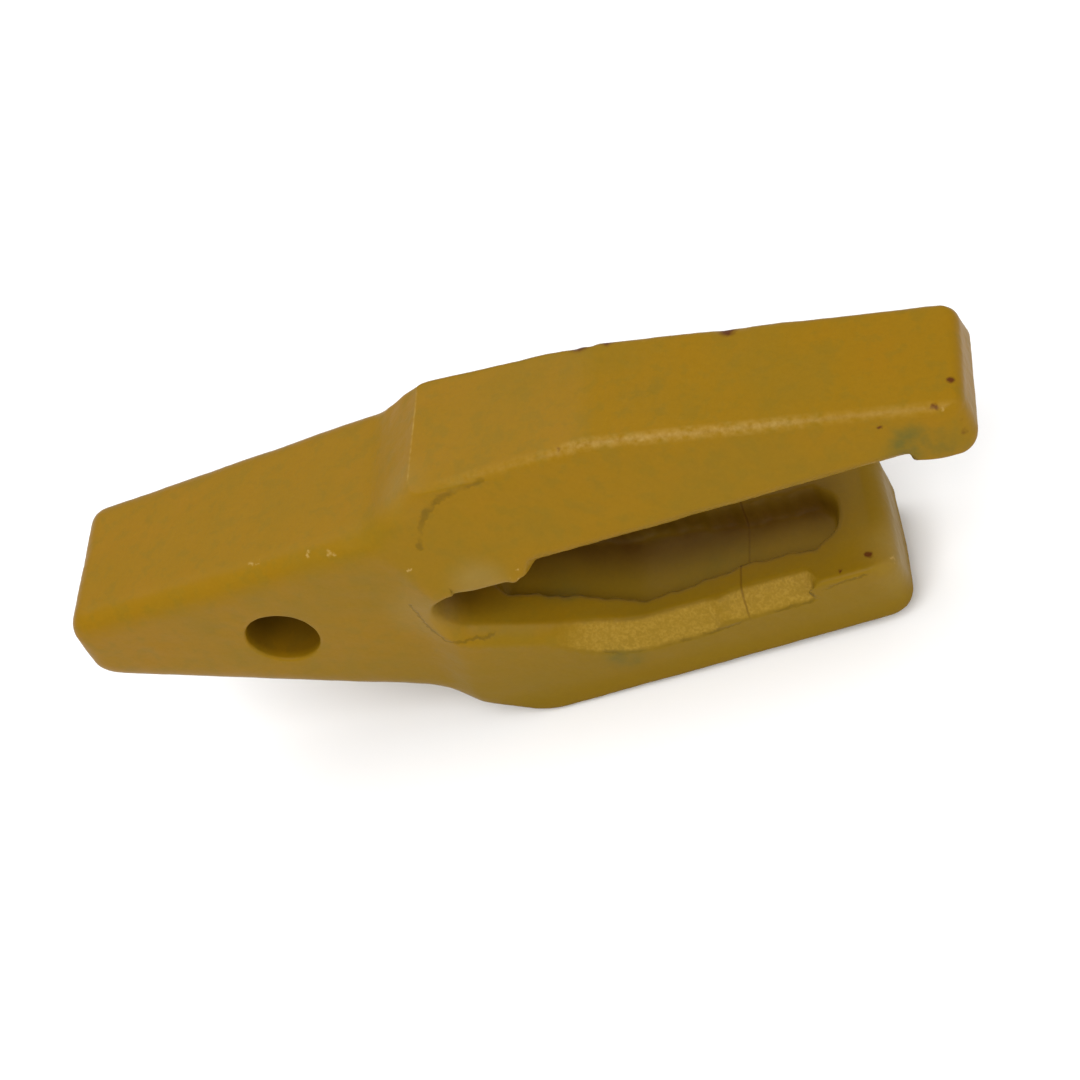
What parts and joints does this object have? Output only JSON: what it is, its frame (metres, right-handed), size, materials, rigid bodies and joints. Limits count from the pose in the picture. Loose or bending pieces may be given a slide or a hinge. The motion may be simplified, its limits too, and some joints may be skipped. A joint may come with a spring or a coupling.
{
  "type": "bucket tooth adapter",
  "caption": "Cast steel weld-on adapter that holds a replaceable bucket tooth on a tapered nose and straddles the bucket's lip plate with two straps.",
  "frame": {"origin": "centre of the cross bore through the nose, midway between its two mouths", "axes": "+X from the nose to the straps, along the lip plate; +Y along the cross bore; +Z normal to the lip plate, towards the longer upper strap"},
  "size_m": [0.2534, 0.0568, 0.0942],
  "materials": {
    "casting_paint": "semi-gloss ochre enamel over an as-cast surface"
  },
  "bodies": {
    "root": {"nose": "casting_paint", "shoulder": "casting_paint", "upper_strap": "casting_paint", "lower_strap": "casting_paint"}
  },
  "joints": []
}
